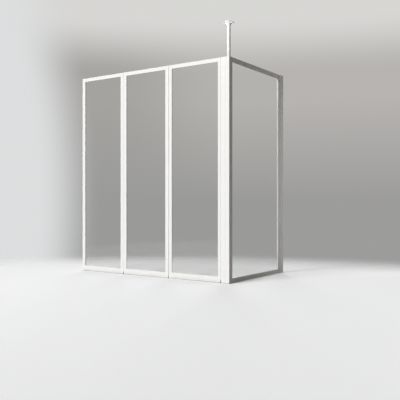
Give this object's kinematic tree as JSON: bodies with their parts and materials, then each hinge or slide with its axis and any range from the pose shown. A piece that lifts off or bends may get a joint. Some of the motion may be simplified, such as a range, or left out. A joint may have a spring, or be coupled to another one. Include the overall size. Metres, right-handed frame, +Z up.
{
  "type": "folding bath screen",
  "caption": "Framed glass bath screen: folding leaves hinged in line to a corner post, a fixed glass side panel to the wall, and a stay tube to the ceiling.",
  "frame": {"origin": "centre of the corner post's foot, on the bath rim", "axes": "+X along the front towards the outer side of the fixed side panel, with the leaves towards -X; +Y from the front face back to the wall; +Z up to the ceiling"},
  "size_m": [1.2755, 0.747, 1.614],
  "materials": {
    "white_powder_coat": "satin white powder coat on extruded aluminium",
    "white_moulding": "moulded white plastic",
    "clear_glass": "clear toughened safety glass",
    "gasket": "pale grey glazing gasket",
    "soft_seal": "milky white soft seal",
    "grey_pad": "moulded grey plastic",
    "nylon": "natural nylon",
    "steel": "plain stainless steel",
    "bare_aluminium": "mill finish"
  },
  "bodies": {
    "fixed_frame": {"post_hinge_pin": "steel", "post_hinge_washers": "nylon", "post_gap_seal": "soft_seal", "corner_post": "white_powder_coat", "post_foot": "grey_pad", "post_top_cap": "white_moulding", "hinge_profile": "white_powder_coat", "hinge_profile_caps": "white_moulding", "hinge_profile_screws": "steel", "side_top_rail": "white_powder_coat", "side_bottom_rail": "white_powder_coat", "side_wall_stile": "white_powder_coat", "side_glass": "clear_glass", "side_gasket": "gasket", "side_rail_keys": "bare_aluminium", "side_corner_screws": "steel", "side_stile_caps": "white_moulding", "wall_profile": "white_powder_coat", "wall_profile_cap": "white_moulding", "wall_profile_screws": "steel", "stay_tube": "white_powder_coat", "stay_set_screw": "steel", "ceiling_rosette": "white_powder_coat"},
    "leaf_a": {"leaf_a_hinge_stile": "white_powder_coat", "leaf_a_slim_stile": "white_powder_coat", "leaf_a_top_rail": "white_powder_coat", "leaf_a_bottom_rail": "white_powder_coat", "leaf_a_glass": "clear_glass", "leaf_a_gasket": "gasket", "leaf_a_bottom_lip": "soft_seal", "leaf_a_end_caps": "white_moulding", "leaf_a_corner_screws": "steel", "ab_hinge_pin": "steel", "ab_hinge_washers": "nylon", "ab_gap_seal": "soft_seal"},
    "leaf_b": {"leaf_b_left_stile": "white_powder_coat", "leaf_b_right_stile": "white_powder_coat", "leaf_b_top_rail": "white_powder_coat", "leaf_b_bottom_rail": "white_powder_coat", "leaf_b_glass": "clear_glass", "leaf_b_gasket": "gasket", "leaf_b_bottom_lip": "soft_seal", "leaf_b_end_caps": "white_moulding", "leaf_b_corner_screws": "steel", "bc_hinge_pin": "steel", "bc_hinge_washers": "nylon", "bc_gap_seal": "soft_seal"},
    "leaf_c": {"leaf_c_free_stile": "white_powder_coat", "leaf_c_hinge_stile": "white_powder_coat", "leaf_c_top_rail": "white_powder_coat", "leaf_c_bottom_rail": "white_powder_coat", "leaf_c_glass": "clear_glass", "leaf_c_gasket": "gasket", "leaf_c_bottom_lip": "soft_seal", "leaf_c_end_caps": "white_moulding", "leaf_c_corner_screws": "steel", "leaf_c_screw_plugs": "white_moulding"}
  },
  "joints": [
    {"name": "post_hinge", "type": "hinge", "parent": "fixed_frame", "child": "leaf_a", "pos_m": [-0.0495, -0.0005, 0.69], "axis": [0, 0, -1], "range_deg": [0, 90]},
    {"name": "ab_hinge", "type": "hinge", "parent": "leaf_a", "child": "leaf_b", "pos_m": [-0.4545, -0.0195, 0.69], "axis": [0, 0, 1], "range_deg": [0, 178]},
    {"name": "bc_hinge", "type": "hinge", "parent": "leaf_b", "child": "leaf_c", "pos_m": [-0.8465, -0.0005, 0.69], "axis": [0, 0, -1], "range_deg": [0, 178]}
  ]
}
